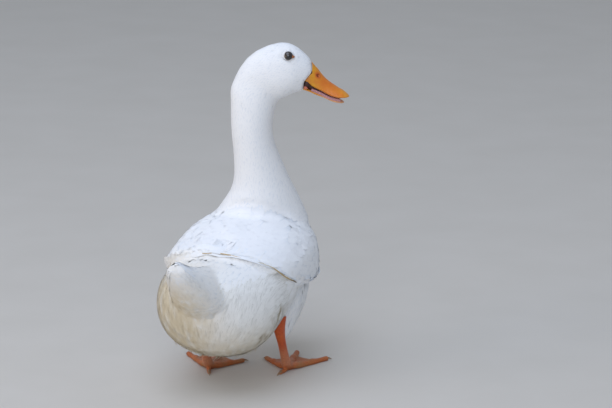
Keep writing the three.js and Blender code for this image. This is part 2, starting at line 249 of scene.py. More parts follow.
bpy.ops.object.select_all(action="DESELECT")
bpy.ops.mesh.primitive_plane_add(size=FLOOR_SIZE, location=(0, 0, 0))
floor = bpy.context.object
floor.name = "floor"
floor.data.materials.append(speckled("pale plaster floor", 9.0, 6.0, "cbc5bb", "d3cdc4", 0.85))
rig.stage(floor)


def softbox(name, place, aim, size, power, shade):
    """A square lamp that faces a point."""
    turn = (Vector(aim) - Vector(place)).to_track_quat("-Z", "Y").to_euler()
    bpy.ops.object.light_add(type="AREA", location=place, rotation=turn)
    lamp = bpy.context.object
    lamp.name = name
    lamp.data.size = size
    lamp.data.energy = power
    lamp.data.color = paint(shade)[:3]


softbox("sky light", (0.6, 0.9, 3.4), (0, 0, 0.25), 3.4, 66, "dfeaff")
softbox("back light", (-0.9, 3.4, 2.1), (0, 0, 0.22), 2.4, 44, "eaf1ff")
softbox("low warm light", (2.2, 2.3, 0.55), (0, 0, 0.12), 1.8, 22, "ffe8cc")
world = bpy.data.worlds.new("pale room")
bpy.context.scene.world = world
world.use_nodes = True
world.node_tree.nodes["Background"].inputs["Color"].default_value = paint("d5dfee")
world.node_tree.nodes["Background"].inputs["Strength"].default_value = 0.5
bpy.context.scene.view_settings.view_transform = "Standard"

# ---------------------------------------------------------------- skin
# The bird's one skin, from the face to the webs: white under the coat, and orange, scaly and bare on the
# legs. It is the flesh of the solid model in one piece, smoothed, and drawn in by the coat's depth.
BIRD_MIDDLE = (11.898, -51.5, -3.0)  # of the tables' origin in the frame, mm
HEAD_TURN = math.radians(200)  # of the look, from +X
HEAD_MIDDLE = 15.0  # of the head's middle plane, to its left of the body's middle, mm
EYE = (53.0, 16.6, 412.0)  # along the look, to the left of the head's middle plane, up
EYE_RADIUS = 6.4
COATED = ("trunk", "tail", "neck", "head", "wing_left", "wing_right", "thigh_left", "thigh_right")
BARE = ("shank_left", "shank_right", "foot_left", "foot_right")
LOOK = np.array([math.cos(HEAD_TURN), math.sin(HEAD_TURN), 0.0])
LOOK_LEFT = np.array([-math.sin(HEAD_TURN), math.cos(HEAD_TURN), 0.0])


def on_bird(forward, left, up):
    """A place on the body, in metres of the frame."""
    middle = BIRD_MIDDLE
    return np.array([left + middle[0], -forward + middle[1], up + middle[2]]) * 0.001


def on_head(along, left, up):
    """A place on the head, along its look, to its left and up, in metres of the frame."""
    base = np.array(BIRD_MIDDLE) * 0.001
    return base + (along * LOOK + (left + HEAD_MIDDLE) * LOOK_LEFT + up * np.array([0, 0, 1])) * 0.001


def measured(places):
    """Forward, left and up, in mm, of places in the frame."""
    at = np.asarray(places) * 1000 - np.array(BIRD_MIDDLE)
    return -at[..., 1], at[..., 0], at[..., 2]


def headward(places):
    """Along the look, to the left of the head's middle plane, and up, in mm, of places in the frame."""
    at = np.asarray(places) * 1000 - np.array(BIRD_MIDDLE)
    return at @ LOOK, at @ LOOK_LEFT - HEAD_MIDDLE, at[..., 2]


def step(value, low, high):
    """A smooth step of an array, from 0 to 1."""
    t = np.clip((value - low) / (high - low), 0, 1)
    return t * t * (3 - 2 * t)


def unit(vectors):
    """Vectors of length one."""
    return vectors / np.maximum(np.linalg.norm(vectors, axis=-1, keepdims=True), 1e-9)


def ball(name, segments, rings, radius):
    """A new round piece at the frame's origin."""
    bpy.ops.object.select_all(action="DESELECT")
    bpy.ops.mesh.primitive_uv_sphere_add(segments=segments, ring_count=rings, radius=radius)
    made = bpy.context.object
    made.name = name
    return made


def joined(nodes, name):
    """One mesh of copies of the solid model's parts, with their loose corners merged."""
    bpy.ops.object.select_all(action="DESELECT")
    for part in nodes:
        copy = frame["nodes"][part].copy()
        copy.data = frame["nodes"][part].data.copy()
        copy.parent = None
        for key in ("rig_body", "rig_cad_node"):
            if key in copy:
                del copy[key]
        bpy.context.scene.collection.objects.link(copy)
        copy.select_set(True)
        bpy.context.view_layer.objects.active = copy
    if len(nodes) > 1:
        bpy.ops.object.join()
    piece = bpy.context.object
    piece.name = name
    piece.data.materials.clear()
    bpy.ops.object.mode_set(mode="EDIT")
    bpy.ops.mesh.select_all(action="SELECT")
    bpy.ops.mesh.remove_doubles(threshold=0.00001)
    bpy.ops.object.mode_set(mode="OBJECT")
    return piece


def grown_together(piece, grain, rounds):
    """Melts a mesh's parts into one closed surface and smooths it."""
    melt = piece.modifiers.new("melt", "REMESH")
    melt.mode = "VOXEL"
    melt.voxel_size = grain
    melt.use_smooth_shade = True
    soften = piece.modifiers.new("soften", "SMOOTH")
    soften.factor = 0.5
    soften.iterations = rounds
    bpy.context.view_layer.objects.active = piece
    for modifier in list(piece.modifiers):
        bpy.ops.object.modifier_apply(modifier=modifier.name)
    return piece


def corners(mesh):
    """A mesh's vertices and their normals, as arrays."""
    count = len(mesh.vertices)
    places, normals = np.zeros(count * 3, np.float32), np.zeros(count * 3, np.float32)
    mesh.vertices.foreach_get("co", places)
    mesh.vertex_normals.foreach_get("vector", normals)
    return places.reshape(-1, 3).astype(float), normals.reshape(-1, 3).astype(float)


COAT_STEP = 0.0006  # thickness of one step of the coat's depth, m
FORM_GRAIN = 0.0021  # of the melted surfaces, m
LEG_GRAIN = 0.001
BILL_GRAIN = 0.00062


def coat_depth(places):
    """How thick the coat is over a place of the form, in metres."""
    forward, left, up = measured(places)
    depth = 3.6 - 1.4 * step(up, 175, 240) - 0.9 * step(up, 345, 375)
    depth = depth + 1.6 * step(-forward, 60, 130) * step(-up, -150, -90)
    depth = np.where(forward < -178, np.minimum(depth, 2.2), depth)
    return depth * COAT_STEP


form = joined(COATED, "form")
between_wings = ball("back between the wings", 32, 16, 0.001)
spot = Matrix.Translation(Vector(on_bird(-16, 1, 184)))
between_wings.data.transform(spot @ Matrix.Diagonal((27, 62, 19, 1)))
form.select_set(True)
bpy.context.view_layer.objects.active = form
bpy.ops.object.join()
form = grown_together(form, FORM_GRAIN, 8)

# The wings' rear edges sink into the rump. Soft folds part the neck from the back and the cape from each
# wing.
NECK_FOLD = (
    (-4, 40, 205), (0, 24, 214), (-4, 3, 220), (-2, -15, 220), (7, -31, 215), (16, -44, 207),
    (22, -61, 194), (34, -73, 182),
)
LEFT_FOLD = ((-1, 41, 202), (-27, 50, 195), (-51, 53, 189), (-84, 44, 184), (-101, 40, 172))
INNER_FOLD = ((-65, 20, 193), (-90, 24, 187), (-105, 30, 180))
RIGHT_FOLD = ((14, -63, 192), (3, -71, 187), (-21, -80, 174))
places, _ = corners(form.data)
forward, left, up = measured(places)
sunk = step(-forward, 28, 62) * (1 - step(-forward, 138, 152)) * step(up, 112, 130)
sunk = np.maximum(
    sunk,
    step(-forward, -40, -15) * (1 - step(-forward, 138, 152)) * step(up, 165, 180)
    * (1 - step(up, 212, 226)),
)
group = form.vertex_groups.new(name="rump")
for share in range(1, 11):
    chosen = np.flatnonzero(np.round(sunk * 10) == share)
    group.add(chosen.tolist(), share / 10, "REPLACE")
breast = form.vertex_groups.new(name="breast")
foot_of_neck = step(forward, -4, 18) * step(up, 138, 152) * (1 - step(up, 196, 210))
for share in range(1, 11):
    breast.add(np.flatnonzero(np.round(foot_of_neck * 10) == share).tolist(), share / 10, "REPLACE")
nape = form.vertex_groups.new(name="nape")
along = headward(places)[0]
nape.add(np.flatnonzero((up > 344) & (up < 402) & (along < 40)).tolist(), 1.0, "REPLACE")
for title, rounds in (("rump", 70), ("breast", 90), ("nape", 20)):
    blend_in = form.modifiers.new("blend in", "SMOOTH")
    blend_in.factor = 0.5
    blend_in.iterations = rounds
    blend_in.vertex_group = title
    bpy.context.view_layer.objects.active = form
    bpy.ops.object.modifier_apply(modifier="blend in")
form.vertex_groups.clear()


def along_curve(points, stations):
    """Evenly spaced places on a smooth curve through points, by arc length."""
    points = np.array(points, float)
    padded = np.vstack([2 * points[0] - points[1], points, 2 * points[-1] - points[-2]])
    fine = []
    for i in range(len(points) - 1):
        a, b, c, d = padded[i : i + 4]
        t = np.linspace(0, 1, 12, endpoint=False)[:, None]
        fine.append(
            0.5 * (
                2 * b + (c - a) * t + (2 * a - 5 * b + 4 * c - d) * t**2 + (3 * b - a - 3 * c + d) * t**3
            )
        )
    fine = np.vstack(fine + [points[-1:]])
    run = np.concatenate([[0], np.cumsum(np.linalg.norm(np.diff(fine, axis=0), axis=1))])
    return np.stack([np.interp(np.linspace(0, run[-1], stations), run, fine[:, k]) for k in range(3)], axis=1)


form_places, form_normals = corners(form.data)
_, _, up = measured(form_places)
round_nape = np.exp(-(((up - 377) / np.where(up > 377, 13, 22)) ** 2)) * np.clip(-form_normals @ LOOK, 0, 1)
form_places = form_places - LOOK * (0.0052 * round_nape)[:, None]
form.data.vertices.foreach_set("co", form_places.astype(np.float32).ravel())
form.data.update()
form_places, form_normals = corners(form.data)
for fold, fall, half in (
    (NECK_FOLD, 2.4, 4.0), (LEFT_FOLD, 1.5, 2.6), (INNER_FOLD, 0.8, 2.4), (RIGHT_FOLD, 1.2, 2.6)
):
    line = along_curve([on_bird(*point) for point in fold], 70)
    near = np.min([np.linalg.norm(form_places - place, axis=1) for place in line], axis=0)
    crease = 0.001 * fall * np.exp(-((near / (0.001 * half)) ** 2))
    form_places = form_places - form_normals * crease[:, None]
form.data.vertices.foreach_set("co", form_places.astype(np.float32).ravel())
form.data.update()
form_places, form_normals = corners(form.data)
form_faces = [tuple(face.vertices) for face in form.data.polygons]
form_tree = BVHTree.FromPolygons(form_places.tolist(), form_faces)
face_normals = unit(np.array([form_normals[list(face)].mean(axis=0) for face in form_faces]))

skin = form
skin.name = "skin"
drawn_in = form_places - form_normals * coat_depth(form_places)[:, None]
skin.data.vertices.foreach_set("co", drawn_in.astype(np.float32).ravel())
skin.data.update()
legs = grown_together(joined(BARE, "legs"), LEG_GRAIN, 3)

skin.data.materials.append(speckled("feathered skin", 70.0, 4.0, "e4e4e2", "f2f2f0", 0.9, 0.0006))

# Bare scaly skin: small plates on the shank, and fine wrinkles that run out over the webs.
material, tree, shader = new_material("scaly orange skin")
place = place_on(tree)
height = node(tree, "ShaderNodeSeparateXYZ", Vector=place).outputs["Z"]
wander = noise(tree, place, 45.0, 5.0, Roughness=0.6)
plates = node(
    tree, "ShaderNodeTexVoronoi", {"feature": "DISTANCE_TO_EDGE"}, Vector=place, Scale=620.0, Randomness=0.85
).outputs["Distance"]
seams = between(tree, plates, 0.0, 0.16)
shade = mixed(tree, between(tree, wander, 0.35, 0.7), paint("d4521a"), paint("e36a28"))
shade = mixed(
    tree, between(tree, height, 0.012, 0.05), mixed(tree, wander, paint("cc7d55"), paint("dd9a76")), shade
)
shade = mixed(
    tree, between(tree, height, 0.012, 0.005), shade, mixed(tree, wander, paint("b9602c"), paint("d27d40"))
)
dusty = reckon(tree, "MULTIPLY", between(tree, wander, 0.45, 0.7), between(tree, height, 0.04, 0.004))
shade = mixed(tree, reckon(tree, "MULTIPLY", dusty, 0.55), shade, paint("a08455"))
shade = mixed(tree, seams, mixed(tree, 0.55, shade, paint("8a3413")), shade)
tree.links.new(shade, shader.inputs["Base Color"])
shader.inputs["Roughness"].default_value = 0.5
bump(tree, shader, seams, 0.0003, 0.8)
legs.data.materials.append(material)
bpy.ops.object.select_all(action="DESELECT")
legs.select_set(True)
skin.select_set(True)
bpy.context.view_layer.objects.active = skin
bpy.ops.object.join()
skin.data.polygons.foreach_set("use_smooth", [True] * len(skin.data.polygons))
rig.ride(skin, "root")
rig.replaces(skin, *COATED, *BARE)
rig.slot(skin, "plumage")

# ---------------------------------------------------------------- coat of the neck and head
# Thousands of small white vanes that lie down the neck like velvet, with the smallest over the face.
# Each grows from the skin, follows the form of the bird, and lies over the roots of those behind it.
PARTS_OF_COAT = list(COATED)
part_trees = []
for part in PARTS_OF_COAT:
    mesh = frame["nodes"][part].data
    part_places, _ = corners(mesh)
    part_trees.append(BVHTree.FromPolygons(part_places.tolist(), [tuple(f.vertices) for f in mesh.polygons]))
face_middles = np.array([form_places[list(face)].mean(axis=0) for face in form_faces])
face_areas = np.zeros(len(form_faces))
for corner in (1, 2):
    a, b, c = (
        form_places[[face[k] if k < len(face) else face[-1] for face in form_faces]]
        for k in (0, corner, corner + 1)
    )
    face_areas += np.linalg.norm(np.cross(b - a, c - a), axis=1) / 2
distances = np.array(
    [[tree_of.find_nearest(place)[3] for tree_of in part_trees] for place in face_middles.tolist()]
)
face_part = distances.argmin(axis=1)


def lie_of_coat(places, normals, part=None):
    """How feathers lie at places on the form: back from the bill, down the neck and back to the tail."""
    forward, left, up = measured(places)
    along, aside, _ = headward(places)
    on_face = step(up, 352, 376)[..., None]
    on_neck = (step(up, 196, 226) * (1 - on_face[..., 0]))[..., None]
    face_way = -LOOK * 1.0 + np.array([0, 0, -1]) * (0.35 + 0.9 * step(-along, -20, 20))[..., None]
    neck_way = np.array([0, 0.12, -1.0])
    breast = step(forward, 30, 100)
    vent = step(-forward, 92, 150) * step(-up, -172, -140)
    body_way = np.stack([0 * up, 1 - 0.45 * breast - 0.4 * vent, -0.22 - 0.9 * breast - 0.9 * vent], axis=-1)
    on_tail = (step(-forward, 150, 185) * step(up, 118, 150))[..., None]
    body_way = body_way * (1 - on_tail) + np.array([0, 0.85, 0.5]) * on_tail
    if part in ("wing_left", "wing_right"):
        body_way = np.stack([0 * up, 1 + 0 * up, 0.1 + 0 * up], axis=-1)
    if part in ("thigh_left", "thigh_right"):
        body_way = np.stack([0 * up, 0.4 + 0 * up, -1 + 0 * up], axis=-1)
    way = face_way * on_face + neck_way * on_neck + body_way * (1 - on_face - on_neck)
    way = way - normals * (way * normals).sum(axis=-1, keepdims=True)
    return unit(way)


def settled(places):
    """Places brought to the form's surface, with its normals there."""
    found = [form_tree.find_nearest(place) for place in places.reshape(-1, 3).tolist()]
    on_form = np.array([hit[0] for hit in found]).reshape(places.shape)
    normals = face_normals[[hit[2] for hit in found]].reshape(places.shape)
    return on_form, normals


def scattered(chosen, spacing, seed):
    """Roots spread evenly but not in rows over the chosen faces of the form, at about a spacing in metres."""
    dice = np.random.default_rng(seed)
    faces = np.flatnonzero(chosen)
    areas = face_areas[faces]
    tries = int(areas.sum() / spacing**2 * 5)
    picked = faces[dice.choice(len(faces), size=tries, p=areas / areas.sum())]
    quads = form_places[[[face[0], face[1], face[2], face[-1]] for face in (form_faces[i] for i in picked)]]
    s, t = dice.random((2, tries, 1))
    near_edge = quads[:, 0] * (1 - s) + quads[:, 1] * s
    far_edge = quads[:, 3] * (1 - s) + quads[:, 2] * s
    spots = near_edge * (1 - t) + far_edge * t
    cells, kept = {}, []
    keys = np.floor(spots / spacing).astype(int)
    for i, (spot, key) in enumerate(zip(spots.tolist(), keys.tolist())):
        near = (
            other
            for dx in (-1, 0, 1)
            for dy in (-1, 0, 1)
            for dz in (-1, 0, 1)
            for other in cells.get((key[0] + dx, key[1] + dy, key[2] + dz), ())
        )
        if all(
            (spot[0] - o[0]) ** 2 + (spot[1] - o[1]) ** 2 + (spot[2] - o[2]) ** 2 > spacing * spacing
            for o in near
        ):
            cells.setdefault(tuple(key), []).append(spot)
            kept.append(i)
    return spots[kept], face_normals[picked[kept]]


def grown(roots, way, length, pieces, part=None, stiff=0.5):
    """The middle lines of feathers from their roots along the form: places, normals and ways."""
    place, normal = settled(roots)
    way = unit(way - normal * (way * normal).sum(axis=-1, keepdims=True))
    lines = [(place, normal, way)]
    for _ in range(pieces):
        place, normal = settled(place + way * (length / pieces)[:, None])
        turned = way * stiff + lie_of_coat(place, normal, part) * (1 - stiff)
        way = unit(turned - normal * (turned * normal).sum(axis=-1, keepdims=True))
        lines.append((place, normal, way))
    return [np.stack(column, axis=1) for column in zip(*lines)]


ROUND_VANE = ((0, 0.3, 0.6, 0.85, 1), (0.5, 0.9, 1, 0.88, 0.52))
POINTED_VANE = ((0, 0.2, 0.5, 0.8, 1), (0.5, 0.95, 0.85, 0.5, 0.12))


def vanes(lines, width, across, sink, lift, arch, outline, softness, dice, fray=0.0):
    """Feather vanes over their middle lines: places, normals and a map (across, along) of each corner."""
    places, normals, ways = lines
    count, stations = places.shape[:2]
    t = np.linspace(0, 1, stations)
    s = np.linspace(-1, 1, across + 1)
    half = np.interp(t, *outline)[None, :] * width[:, None] / 2
    side = unit(np.cross(normals, ways))
    offset = half[:, :, None] * s[None, None, :]
    height = (-sink[:, None] * (1 - t) + lift[:, None] * t)[:, :, None] - arch[:, None, None] * s**2
    grid = places[:, :, None] + side[:, :, None] * offset[..., None] + normals[:, :, None] * height[..., None]
    at_tip = np.where(t > 0.95, outline[1][-1] * 0.4, 0)
    tip = (1 - s**2)[None, None, :] * at_tip[None, :, None] * width[:, None, None]
    ragged = dice.normal(0, 1, grid.shape[:3]) * fray * width[:, None, None] * (t**2)[None, :, None]
    grid = grid + ways[:, :, None] * (tip + ragged)[..., None]
    down = np.gradient(grid, axis=1)
    over = np.gradient(grid, axis=2)
    own = unit(np.cross(over, down))
    own = own * np.sign((own * normals[:, :, None]).sum(axis=-1, keepdims=True) + 1e-9)
    soft = unit(own * (1 - softness) + normals[:, :, None] * softness)
    chart = np.stack(
        np.broadcast_arrays((s[None, None, :] + 1) / 2, t[None, :, None] + 0 * grid[..., 0]), axis=-1
    )
    return grid, soft, chart


def skin_map(places):
    """Where a place lies on the skin's unwrap: the body round its length below, the neck and head above."""
    forward, left, up = measured(places)
    round_body = 0.5 + np.arctan2(left, up - 118) / (2 * np.pi)
    body = np.stack([round_body, 0.02 + 0.56 * np.clip((forward + 252) / 400, 0, 1)], axis=-1)
    middle_left = np.interp(up, [170, 240, 290, 400], [0, 6, 12, -20])
    middle_forward = np.interp(up, [170, 240, 290, 400], [30, 12, 8, 22])
    round_neck = 0.5 + np.arctan2(left - middle_left, forward - middle_forward) / (2 * np.pi)
    neck = np.stack([round_neck, 0.62 + 0.36 * np.clip((up - 190) / 245, 0, 1)], axis=-1)
    return np.where((up > 215)[..., None], neck, body)


def feather_mesh(name, batches, charts=None):
    """One mesh of batches of vanes, with a map of each vane, its patch on the bake's map and soft normals."""
    points, shading, quads, own_map, bake_map, base = [], [], [], [], [], 0
    for batch, (grid, soft, chart) in enumerate(batches):
        count, stations, columns = grid.shape[:3]
        index = np.arange(count * stations * columns).reshape(count, stations, columns) + base
        base += count * stations * columns
        quad = np.stack([index[:, :-1, :-1], index[:, :-1, 1:], index[:, 1:, 1:], index[:, 1:, :-1]], axis=-1)
        quads.append(quad.reshape(-1, 4)[:, ::-1])
        points.append(grid.reshape(-1, 3))
        shading.append(soft.reshape(-1, 3))
        own_map.append(chart.reshape(-1, 2))
        if charts is None:
            root = np.clip(skin_map(grid[:, 0].mean(axis=1)), 0.003, 0.997)
            patch = root[:, None, None, :] + (chart - 0.5) * 0.003
        else:
            patch = charts[batch]
        bake_map.append(patch.reshape(-1, 2))
    points, shading, quads = np.concatenate(points), np.concatenate(shading), np.concatenate(quads)
    own_map, bake_map = np.concatenate(own_map), np.concatenate(bake_map)
    a, b, c = points[quads[:, 0]], points[quads[:, 1]], points[quads[:, 2]]
    inward = (np.cross(b - a, c - a) * shading[quads[:, 0]]).sum(axis=1) < 0
    quads[inward] = quads[inward][:, ::-1]
    mesh = bpy.data.meshes.new(name)
    mesh.vertices.add(len(points))
    mesh.vertices.foreach_set("co", points.astype(np.float32).ravel())
    mesh.loops.add(len(quads) * 4)
    mesh.loops.foreach_set("vertex_index", quads.ravel().astype(np.int32))
    mesh.polygons.add(len(quads))
    mesh.polygons.foreach_set("loop_start", np.arange(0, len(quads) * 4, 4, dtype=np.int32))
    for title, values in (("vane", own_map), ("OFBake", bake_map)):
        layer = mesh.uv_layers.new(name=title)
        layer.data.foreach_set("uv", values[quads.ravel()].astype(np.float32).ravel())
    mesh.update(calc_edges=True)
    mesh.polygons.foreach_set("use_smooth", [True] * len(quads))
    mesh.validate()
    mesh.normals_split_custom_set_from_vertices(shading.tolist())
    piece = bpy.data.objects.new(name, mesh)
    bpy.context.scene.collection.objects.link(piece)
    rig.ride(piece, "root")
    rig.slot(piece, "plumage")
    return piece


def stain_and_shade_group():
    """White feather turned cream under the tail and low on the belly, partly a cream stain and partly painted warm
    shade of the underside, with painted brownish shade by the right thigh and along the belly's lowest edge.
    """
    group = bpy.data.node_groups.new("wear of the coat", "ShaderNodeTree")
    for title in ("Clean", "Cream", "PaintedShade"):
        group.interface.new_socket(name=title, in_out="INPUT", socket_type="NodeSocketColor")
    group.interface.new_socket(name="Color", in_out="OUTPUT", socket_type="NodeSocketColor")
    given = group.nodes.new("NodeGroupInput")
    result = group.nodes.new("NodeGroupOutput")
    place = place_on(group)
    x, y, z = node(group, "ShaderNodeSeparateXYZ", Vector=place).outputs
    drawn_down = node(group, "ShaderNodeMapping", Vector=place, Scale=(1.0, 1.0, 0.3)).outputs[0]
    streaks = noise(group, drawn_down, 120.0, 4.0)
    # Cream stain and painted warm shade under the tail, on its left side only.
    under_tail = reckon(group, "MULTIPLY", between(group, y, 0.01, 0.09), between(group, z, 0.192, 0.130))
    under_tail = reckon(group, "MULTIPLY", under_tail, between(group, x, -0.035, 0.03))
    # Cream stain and painted warm shade low on the belly, where only the floor's warm bounce light reaches.
    low = reckon(group, "MULTIPLY", between(group, z, 0.115, 0.05), between(group, y, -0.02, 0.03))
    low = reckon(group, "MULTIPLY", low, 0.75)
    cream = reckon(group, "MAXIMUM", under_tail, low)
    cream = reckon(group, "MULTIPLY", cream, between(group, streaks, 0.0, 0.62))
    colour = mixed(group, cream, given.outputs["Clean"], given.outputs["Cream"])
    # Painted brownish shade in two patches on the rear of the belly by the right thigh.
    thigh_and_rim_shade = 0.0
    for spot, reach in (((-0.068, 0.050, 0.100), 0.022), ((-0.056, 0.068, 0.074), 0.015)):
        away = distance(group, place, spot)
        thigh_and_rim_shade = reckon(group, "MAXIMUM", thigh_and_rim_shade, between(group, away, reach, 0.25 * reach))
    # Painted shade along the belly's lowest edge, just over the floor.
    rim = between(group, z, 0.060, 0.046)
    thigh_and_rim_shade = reckon(group, "MAXIMUM", thigh_and_rim_shade, reckon(group, "MULTIPLY", rim, 0.3))
    thigh_and_rim_shade = reckon(group, "MULTIPLY", thigh_and_rim_shade, between(group, streaks, 0.40, 0.74))
    colour = mixed(group, thigh_and_rim_shade, colour, given.outputs["PaintedShade"])
    group.links.new(colour, result.inputs["Color"])
    return group


stain_and_shade = stain_and_shade_group()


def plumage(name, clean, root_shade, barbs, grain):
    """White feather: darker at each vane's root, in the depth of the coat, as painted shade of the vanes over it, and
    lighter at the tips, with fine barbs on each vane.
    """
    material, tree, shader = new_material(name)
    vane = node(tree, "ShaderNodeUVMap", {"uv_map": "vane"}).outputs[0]
    mottle = noise(tree, place_on(tree), grain, 3.0)
    axes = node(tree, "ShaderNodeSeparateXYZ", Vector=vane)
    aside = reckon(tree, "ABSOLUTE", reckon(tree, "SUBTRACT", axes.outputs["X"], 0.5))
    slant = reckon(tree, "SUBTRACT", reckon(tree, "MULTIPLY", axes.outputs["Y"], 1.6), aside)
    comb = reckon(tree, "SINE", reckon(tree, "MULTIPLY", slant, 2.2 * barbs))
    # Painted shade: the root end of each vane takes the darker colour and the tip the clean one.
    shade = mixed(tree, between(tree, axes.outputs["Y"], 0.05, 0.7), paint(root_shade), paint(clean))
    shade = mixed(tree, mixed(tree, mottle, (0, 0, 0, 1), (0.12, 0.12, 0.12, 1)), shade, paint("dfe3e8"))
    stained_and_shaded = tree.nodes.new("ShaderNodeGroup")
    stained_and_shaded.node_tree = stain_and_shade
    tree.links.new(shade, stained_and_shaded.inputs["Clean"])
    # Cream stain with painted warm shade, and the brownish colour of the painted shade by the thigh and along the rim.
    stained_and_shaded.inputs["Cream"].default_value = paint("dccfb4")
    stained_and_shaded.inputs["PaintedShade"].default_value = paint("a89a80")
    tree.links.new(stained_and_shaded.outputs["Color"], shader.inputs["Base Color"])
    shader.inputs["Roughness"].default_value = 0.8
    shader.inputs["Specular IOR Level"].default_value = 0.25
    bump(tree, shader, comb, 0.00004, 0.4)
    return material


# The second colour of each white finish is the painted shade at the roots of its vanes.
velvet = plumage("short white feathers", "f7f7f7", "eceef1", 40.0, 120.0)


def is_calm(lines, turned=0.8, tilted=0.72):
    """Which middle lines bend gently enough for a vane to lie smooth on them."""
    _, normals, ways = lines
    alike_ways = (ways[:, 1:] * ways[:, :-1]).sum(axis=-1).min(axis=1)
    alike_normals = (normals[:, 1:] * normals[:, :-1]).sum(axis=-1).min(axis=1)
    return (alike_ways > turned) & (alike_normals > tilted)


def is_smooth(grid, normals, least=0.2):
    """Which vanes have no corner folded or turned up on its edge."""
    over, down = grid[:, :, 1:] - grid[:, :, :-1], grid[:, 1:] - grid[:, :-1]
    good = np.ones(len(grid), bool)
    for a in (over[:, :-1], over[:, 1:]):
        for b in (down[:, :, :-1], down[:, :, 1:]):
            facing = -(unit(np.cross(a, b)) * normals[:, :-1, None]).sum(axis=-1)
            good &= facing.reshape(len(grid), -1).min(axis=1) > least
    return good


def coat_of(name, sorts, seed, material, softness=0.6):
    """A coat of several sorts of feather, each with its faces, part, spacing, length, width and joints."""
    dice = np.random.default_rng(seed)
    batches = []
    for number, sort in enumerate(sorts):
        roots, normals = scattered(sort["faces"], sort["spacing"], seed + 17 * number)
        way = lie_of_coat(roots, normals, sort.get("part"))
        side = np.cross(normals, way)
        count = len(roots)
        lean = dice.normal(0, sort.get("stray", 0.12), count)[:, None]
        way = unit(way + side * lean)
        size = 1 + dice.normal(0, 0.1, count)
        length = sort["length"] * size
        depth = coat_depth(roots)
        lines = grown(
            roots - way * (length * 0.35)[:, None], way, length, sort.get("joints", 3), sort.get("part")
        )
        for share in (0.62, 0.4, 0.26):
            bent = np.flatnonzero(~is_calm(lines))
            if len(bent):
                length[bent], size[bent] = sort["length"] * share, 0.45 + 0.5 * share
                back = way[bent] * (length[bent] * 0.35)[:, None]
                shorter = grown(
                    roots[bent] - back, way[bent], length[bent], sort.get("joints", 3), sort.get("part")
                )
                for column, remade in zip(lines, shorter):
                    column[bent] = remade
        calm = is_calm(lines, 0.4, 0.3)
        lines = [column[calm] for column in lines]
        size, length, depth, count = size[calm], length[calm], depth[calm], int(calm.sum())
        lift = sort.get("lift", 0.0) + dice.normal(0, sort.get("rough", 0.00012), count)
        left_over = np.arange(count)
        for slim in sort.get("slims", (1.0, 0.5, 0.3)):
            lines = [column[left_over] for column in lines]
            size, depth, lift = size[left_over], depth[left_over], lift[left_over]
            grid, soft, chart = vanes(
                lines,
                sort["width"] * size * slim,
                sort.get("across", 2),
                depth * sort.get("root", 0.16),
                lift,
                sort["width"] * sort.get("arch", 0.08) * size * slim,
                sort.get("outline", ROUND_VANE),
                softness,
                dice,
                sort.get("fray", 0.0),
            )
            good = is_smooth(grid, lines[1], sort.get("least", 0.2))
            batches.append((grid[good], soft[good], chart[good]))
            left_over = np.flatnonzero(~good)
            if not len(left_over):
                break
    piece = feather_mesh(name, batches)
    piece.data.materials.append(material)
    return piece


is_part = {part: face_part == number for number, part in enumerate(PARTS_OF_COAT)}
face_along, face_aside, face_up = headward(face_middles)
face_forward, face_left, _ = measured(face_middles)
off_eye = np.minimum(
    np.linalg.norm(face_middles - on_head(*EYE), axis=1),
    np.linalg.norm(face_middles - on_head(EYE[0], -EYE[1], EYE[2]), axis=1),
)
clear_of_eye = off_eye > 0.0072
near_head = is_part["head"] & clear_of_eye
fold_height = np.interp(
    -face_left, [-52, -40, -24, -3, 15, 31, 44, 61, 73], [198, 205, 214, 220, 220, 215, 207, 194, 182]
)
on_back = (face_forward < 36) & (face_up < fold_height) & (face_up > 168) & (face_forward > -120)
coat_of(
    "neck_and_head_coat",
    [
        dict(faces=faces, spacing=spacing, length=length, width=width, rough=rough, slims=(1.0,), least=0.5)
        for faces, spacing, length, width, rough in (
            (near_head, 0.0021, 0.0058, 0.0036, 0.00003),
            (is_part["neck"] & (face_up > 300), 0.0026, 0.0085, 0.0046, 0.00004),
            (is_part["neck"] & (face_up <= 300) & ~on_back, 0.0032, 0.0115, 0.0060, 0.00005),
        )
    ],
    11,
    velvet,
    0.88,
)


# ---------------------------------------------------------------- coat of the trunk and thighs
# Broader vanes over the breast, the sides and the rump, and a short thick coat that runs down each thigh
# to a cone.
body_white = plumage("white body feathers", "f7f7f6", "e6e9ec", 60.0, 60.0)
on_wing = is_part["wing_left"] | is_part["wing_right"]
fluffy = (face_forward < -62) & (face_up < 158) & (face_forward > -176)
under_tail = is_part["tail"]
on_trunk = ((is_part["trunk"] & ~on_back) | (on_wing & (face_forward < -84))) & ~fluffy
broad = dict(joints=4, across=4)
loose = dict(rough=0.00012, stray=0.08, **broad)
coat_of(
    "trunk_coat",
    [
        dict(faces=on_trunk, spacing=0.0048, length=0.020, width=0.0100, rough=0.0001, stray=0.1, **broad),
        dict(faces=under_tail, spacing=0.0044, length=0.018, width=0.0085, **loose),
    ],
    23,
    body_white,
    0.85,
)
coat_of(
    "thigh_coat",
    [
        dict(
            faces=is_part[part], part=part, spacing=0.0038, length=0.016, width=0.0060, joints=4,
            rough=0.0002, stray=0.16, outline=POINTED_VANE, fray=0.02,
        )
        for part in ("thigh_left", "thigh_right")
    ],
    31,
    body_white,
    0.8,
)

# ---------------------------------------------------------------- fluff of the belly and vent
# Loose, hair-like plumes with no firm vane. They hang in locks over the round rear of the belly, and
# their points stand out as wisps along its lower edge.
down_white = plumage("loose belly plumes", "f6f5f1", "e2e1dc", 30.0, 60.0)


